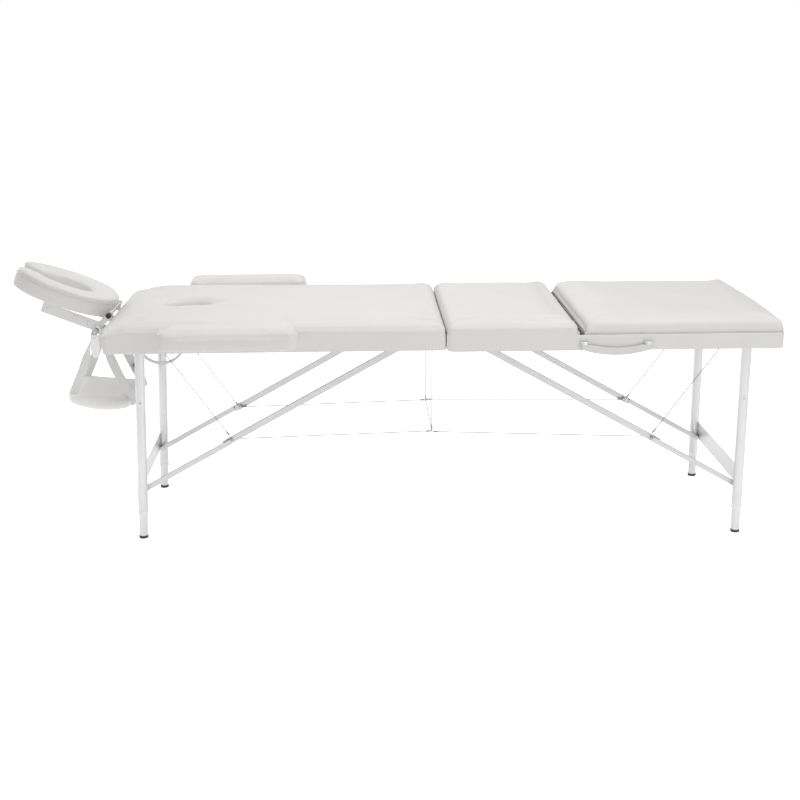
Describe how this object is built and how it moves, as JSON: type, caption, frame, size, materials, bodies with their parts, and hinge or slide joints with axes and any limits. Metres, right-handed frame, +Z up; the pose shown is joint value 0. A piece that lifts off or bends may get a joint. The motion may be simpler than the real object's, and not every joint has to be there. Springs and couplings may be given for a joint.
{
  "type": "portable massage table",
  "caption": "White portable massage table with a lifting backrest, tilting face cradle, arm sling, side armrests and folding height-adjustable aluminium legs.",
  "frame": {"origin": "on the floor, under the middle of the overall length and width", "axes": "+X towards the foot end, -X towards the headrest, +Y towards the far side, +Z up"},
  "size_m": [2.1582, 0.84, 0.7639],
  "materials": {
    "vinyl": "satin",
    "aluminium_frame": "satin",
    "white_paint": "satin",
    "steel": "satin",
    "chrome": "polished",
    "plywood": "matte",
    "white_plastic": "gloss",
    "black_plastic": "matte",
    "webbing": "matte",
    "rubber": "matte"
  },
  "bodies": {
    "foot_frame": {"foot_rails": "aluminium_frame", "seat_deck": "plywood", "seat_pad": "vinyl", "foot_pivot_brackets": "white_paint", "foot_hinge_leaves": "steel", "handle_mounts": "steel", "backrest_racks": "white_paint"},
    "head_frame": {"head_rails": "aluminium_frame", "head_deck": "plywood", "head_pad": "vinyl", "head_pivot_brackets": "white_paint", "head_hinge_leaves": "steel", "rod_sockets": "white_plastic"},
    "head_legs": {"head_leg_tubes": "aluminium_frame", "head_cross_bar": "aluminium_frame", "head_leg_bolts": "steel"},
    "head_upper_struts_body": {"head_upper_struts": "aluminium_frame", "head_strut_bolts": "steel"},
    "head_lower_struts_body": {"head_lower_struts": "aluminium_frame"},
    "head_diagonal_cables_body": {"head_diagonal_cables": "steel"},
    "head_run_cables_body": {"head_run_cables": "steel"},
    "head_near_extension_body": {"head_near_extension": "aluminium_frame", "head_near_foot": "rubber"},
    "head_near_button_body": {"head_near_button": "chrome"},
    "head_far_extension_body": {"head_far_extension": "aluminium_frame", "head_far_foot": "rubber"},
    "head_far_button_body": {"head_far_button": "chrome"},
    "foot_legs": {"foot_leg_tubes": "aluminium_frame", "foot_cross_bar": "aluminium_frame", "foot_leg_bolts": "steel"},
    "foot_upper_struts_body": {"foot_upper_struts": "aluminium_frame", "foot_strut_bolts": "steel"},
    "foot_lower_struts_body": {"foot_lower_struts": "aluminium_frame"},
    "foot_diagonal_cables_body": {"foot_diagonal_cables": "steel"},
    "foot_run_cables_body": {"foot_run_cables": "steel"},
    "foot_near_extension_body": {"foot_near_extension": "aluminium_frame", "foot_near_foot": "rubber"},
    "foot_near_button_body": {"foot_near_button": "chrome"},
    "foot_far_extension_body": {"foot_far_extension": "aluminium_frame", "foot_far_foot": "rubber"},
    "foot_far_button_body": {"foot_far_button": "chrome"},
    "centre_cable_body": {"centre_cable": "steel"},
    "backrest": {"backrest_deck": "plywood", "backrest_pad": "vinyl", "backrest_fittings": "white_paint"},
    "backrest_prop_body": {"backrest_prop": "aluminium_frame"},
    "carry_handle_body": {"carry_handle": "webbing"},
    "storage_strap_body": {"storage_strap": "webbing"},
    "headrest_slider": {"headrest_posts": "aluminium_frame"},
    "headrest_lifter": {"lift_frame": "aluminium_frame"},
    "headrest": {"headrest_board": "plywood", "headrest_cushion": "vinyl"},
    "tilt_knob_body": {"tilt_knob": "black_plastic"},
    "cam_lever_body": {"cam_lever": "white_plastic"},
    "arm_sling": {"sling_shelf": "vinyl", "sling_straps": "webbing"},
    "near_armrest": {"near_armrest_pad": "vinyl", "near_armrest_frame": "white_paint"},
    "far_armrest": {"far_armrest_pad": "vinyl", "far_armrest_frame": "white_paint"}
  },
  "joints": [
    {"name": "table_fold", "type": "hinge", "parent": "foot_frame", "child": "head_frame", "pos_m": [0.14913, 0, 0.5605], "axis": [0, -1, 0], "range_deg": [0, 180]},
    {"name": "head_leg_fold", "type": "hinge", "parent": "head_frame", "child": "head_legs", "pos_m": [-0.69387, 0, 0.582], "axis": [0, -1, 0], "range_deg": [0, 92]},
    {"name": "head_upper_strut_fold", "type": "hinge", "parent": "head_frame", "child": "head_upper_struts_body", "pos_m": [0.09213, 0, 0.582], "axis": [0, 1, 0], "range_deg": [0, 29.02]},
    {"name": "head_lower_strut_fold", "type": "hinge", "parent": "head_legs", "child": "head_lower_struts_body", "pos_m": [-0.7094, 0, 0.13727], "axis": [0, -1, 0], "range_deg": [0, 58.98]},
    {"name": "head_diagonal_cable_fold", "type": "hinge", "parent": "head_frame", "child": "head_diagonal_cables_body", "pos_m": [-0.66187, 0, 0.568], "axis": [0, -1, 0], "range_deg": [0, 54.9]},
    {"name": "head_run_cable_fold", "type": "hinge", "parent": "head_upper_struts_body", "child": "head_run_cables_body", "pos_m": [-0.45772, 0, 0.27691], "axis": [0, -1, 0], "range_deg": [0, 29.02]},
    {"name": "head_near_extension_slide", "type": "slide", "parent": "head_legs", "child": "head_near_extension_body", "axis": [-0.0349, 0, -0.9994], "range_m": [0, 0.15]},
    {"name": "head_near_button_press", "type": "slide", "parent": "head_legs", "child": "head_near_button_body", "axis": [0, 1, 0], "range_m": [0, 0.002]},
    {"name": "head_far_extension_slide", "type": "slide", "parent": "head_legs", "child": "head_far_extension_body", "axis": [-0.0349, 0, -0.9994], "range_m": [0, 0.15]},
    {"name": "head_far_button_press", "type": "slide", "parent": "head_legs", "child": "head_far_button_body", "axis": [0, -1, 0], "range_m": [0, 0.002]},
    {"name": "foot_leg_fold", "type": "hinge", "parent": "foot_frame", "child": "foot_legs", "pos_m": [0.99213, 0, 0.582], "axis": [0, 1, 0], "range_deg": [0, 90.4]},
    {"name": "foot_upper_strut_fold", "type": "hinge", "parent": "foot_frame", "child": "foot_upper_struts_body", "pos_m": [0.20613, 0, 0.582], "axis": [0, -1, 0], "range_deg": [0, 29.42]},
    {"name": "foot_lower_strut_fold", "type": "hinge", "parent": "foot_legs", "child": "foot_lower_struts_body", "pos_m": [0.99524, 0, 0.13701], "axis": [0, 1, 0], "range_deg": [0, 60.18]},
    {"name": "foot_diagonal_cable_fold", "type": "hinge", "parent": "foot_frame", "child": "foot_diagonal_cables_body", "pos_m": [0.96013, 0, 0.568], "axis": [0, 1, 0], "range_deg": [0, 54.1]},
    {"name": "foot_run_cable_fold", "type": "hinge", "parent": "foot_upper_struts_body", "child": "foot_run_cables_body", "pos_m": [0.7492, 0, 0.27576], "axis": [0, 1, 0], "range_deg": [0, 29.42]},
    {"name": "foot_near_extension_slide", "type": "slide", "parent": "foot_legs", "child": "foot_near_extension_body", "axis": [0.007, 0, -1], "range_m": [0, 0.15]},
    {"name": "foot_near_button_press", "type": "slide", "parent": "foot_legs", "child": "foot_near_button_body", "axis": [0, 1, 0], "range_m": [0, 0.002]},
    {"name": "foot_far_extension_slide", "type": "slide", "parent": "foot_legs", "child": "foot_far_extension_body", "axis": [0.007, 0, -1], "range_m": [0, 0.15]},
    {"name": "foot_far_button_press", "type": "slide", "parent": "foot_legs", "child": "foot_far_button_body", "axis": [0, -1, 0], "range_m": [0, 0.002]},
    {"name": "centre_cable_fold", "type": "hinge", "parent": "head_frame", "child": "centre_cable_body", "pos_m": [0.11913, 0, 0.566], "axis": [0, 1, 0], "range_deg": [0, 90]},
    {"name": "backrest_tilt", "type": "hinge", "parent": "foot_frame", "child": "backrest", "pos_m": [0.52013, 0, 0.604], "axis": [0, -1, 0], "range_deg": [0, 45]},
    {"name": "prop_fold", "type": "hinge", "parent": "backrest", "child": "backrest_prop_body", "pos_m": [0.77013, 0, 0.592], "axis": [0, 1, 0], "range_deg": [0, 90]},
    {"name": "handle_swing", "type": "hinge", "parent": "foot_frame", "child": "carry_handle_body", "pos_m": [0.61463, -0.306, 0.58], "axis": [-1, 0, 0], "range_deg": [0, 90]},
    {"name": "storage_strap_swing", "type": "hinge", "parent": "head_frame", "child": "storage_strap_body", "pos_m": [-0.64587, -0.14, 0.568], "axis": [1, 0, 0], "range_deg": [0, 90]},
    {"name": "headrest_slide", "type": "slide", "parent": "head_frame", "child": "headrest_slider", "axis": [-1, 0, 0], "range_m": [0, 0.08]},
    {"name": "headrest_lift", "type": "hinge", "parent": "headrest_slider", "child": "headrest_lifter", "pos_m": [-0.83387, 0, 0.585], "axis": [0, 1, 0], "range_deg": [-15, 4]},
    {"name": "headrest_tilt", "type": "hinge", "parent": "headrest_lifter", "child": "headrest", "pos_m": [-0.79287, 0, 0.63], "axis": [0, 1, 0], "range_deg": [0, 30]},
    {"name": "knob_turn", "type": "hinge", "parent": "headrest_lifter", "child": "tilt_knob_body", "pos_m": [-0.79287, -0.109, 0.63], "axis": [0, -1, 0], "range_deg": [0, 180]},
    {"name": "cam_lever_swing", "type": "hinge", "parent": "headrest_slider", "child": "cam_lever_body", "pos_m": [-0.83387, -0.122, 0.585], "axis": [-1, 0, 0], "range_deg": [0, 100]},
    {"name": "sling_swing", "type": "hinge", "parent": "headrest_slider", "child": "arm_sling", "pos_m": [-0.83387, 0, 0.585], "axis": [0, 1, 0], "range_deg": [0, 45]},
    {"name": "near_armrest_slide", "type": "slide", "parent": "head_frame", "child": "near_armrest", "axis": [0, -1, 0], "range_m": [0, 0.04]},
    {"name": "far_armrest_slide", "type": "slide", "parent": "head_frame", "child": "far_armrest", "axis": [0, 1, 0], "range_m": [0, 0.04]}
  ],
  "couplings": [
    {"joint": "head_leg_fold", "follows": "table_fold", "ratio": 0.51111},
    {"joint": "head_upper_strut_fold", "follows": "table_fold", "ratio": 0.16124},
    {"joint": "head_lower_strut_fold", "follows": "table_fold", "ratio": 0.32765},
    {"joint": "head_diagonal_cable_fold", "follows": "table_fold", "ratio": 0.305},
    {"joint": "head_run_cable_fold", "follows": "table_fold", "ratio": 0.16124},
    {"joint": "foot_leg_fold", "follows": "table_fold", "ratio": 0.50222},
    {"joint": "foot_upper_strut_fold", "follows": "table_fold", "ratio": 0.16344},
    {"joint": "foot_lower_strut_fold", "follows": "table_fold", "ratio": 0.33434},
    {"joint": "foot_diagonal_cable_fold", "follows": "table_fold", "ratio": 0.30056},
    {"joint": "foot_run_cable_fold", "follows": "table_fold", "ratio": 0.16344},
    {"joint": "centre_cable_fold", "follows": "table_fold", "ratio": 0.5},
    {"joint": "prop_fold", "follows": "backrest_tilt", "ratio": 2},
    {"joint": "storage_strap_swing", "follows": "table_fold", "ratio": 0.5},
    {"joint": "sling_swing", "follows": "table_fold", "ratio": 0.25}
  ]
}
